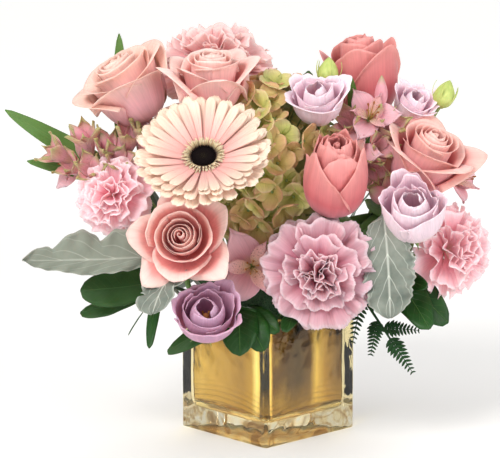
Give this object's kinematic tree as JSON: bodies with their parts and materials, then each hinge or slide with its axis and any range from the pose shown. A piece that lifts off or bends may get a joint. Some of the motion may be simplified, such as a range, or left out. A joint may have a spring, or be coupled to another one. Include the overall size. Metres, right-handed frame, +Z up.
{
  "type": "floral table centerpiece",
  "caption": "Mixed bouquet of roses, carnations, gerbera, hydrangea, lisianthus, alstroemeria and leaves, arranged in floral foam in a square gold-lined glass vase.",
  "frame": {"origin": "middle of the vase's foot, in the plane it stands on", "axes": "+Z up out of the vase, -Y towards the arrangement's display side, +X to its right as seen from the front"},
  "size_m": [0.3869, 0.2624, 0.3327],
  "materials": {
    "glass": "thick clear amber glass with a gold mirror lining",
    "foam": "wet floral foam, matt",
    "stem": "satin green",
    "coral_petal": "soft satin",
    "rose_petal": "soft satin",
    "carnation_petal": "matt",
    "gerbera_petal": "soft satin",
    "gerbera_disc": "matt",
    "hydrangea_floret": "matt",
    "lisianthus_petal": "soft satin",
    "alstroemeria": "soft satin",
    "silver_leaf": "felted",
    "leaf": "waxy",
    "fern": "satin"
  },
  "bodies": {
    "root": {"alstroemeria_left": "alstroemeria", "alstroemeria_middle": "alstroemeria", "alstroemeria_right": "alstroemeria", "alstroemeria_top": "alstroemeria", "carnation_back": "carnation_petal", "carnation_back_stem": "stem", "carnation_front": "carnation_petal", "carnation_front_stem": "stem", "carnation_left": "carnation_petal", "carnation_left_stem": "stem", "carnation_right": "carnation_petal", "carnation_right_stem": "stem", "carnation_top": "carnation_petal", "carnation_top_stem": "stem", "fern_back": "fern", "fern_right": "fern", "foam": "foam", "gerbera": "gerbera_petal", "gerbera_disc": "gerbera_disc", "gerbera_stem": "stem", "greens_back_left": "leaf", "greens_back_right": "leaf", "greens_front": "leaf", "greens_left": "leaf", "greens_middle": "leaf", "greens_right": "leaf", "greens_top": "leaf", "hydrangea": "hydrangea_floret", "lisianthus_front": "lisianthus_petal", "lisianthus_front_stem": "stem", "lisianthus_right": "lisianthus_petal", "lisianthus_right_stem": "stem", "lisianthus_top": "lisianthus_petal", "lisianthus_top_right": "lisianthus_petal", "lisianthus_top_right_stem": "stem", "lisianthus_top_stem": "stem", "rose_back_left": "rose_petal", "rose_back_left_stem": "stem", "rose_back_right": "coral_petal", "rose_back_right_stem": "stem", "rose_bud": "coral_petal", "rose_bud_stem": "stem", "rose_front": "rose_petal", "rose_front_stem": "stem", "rose_right": "coral_petal", "rose_right_stem": "stem", "rose_top_left": "rose_petal", "rose_top_left_stem": "stem", "rose_top_middle": "rose_petal", "rose_top_middle_stem": "stem", "rose_top_right": "coral_petal", "rose_top_right_stem": "stem", "silver_leaf_back": "silver_leaf", "silver_leaf_front": "silver_leaf", "silver_leaf_left": "silver_leaf", "silver_leaf_right": "silver_leaf", "vase": "glass"}
  },
  "joints": []
}
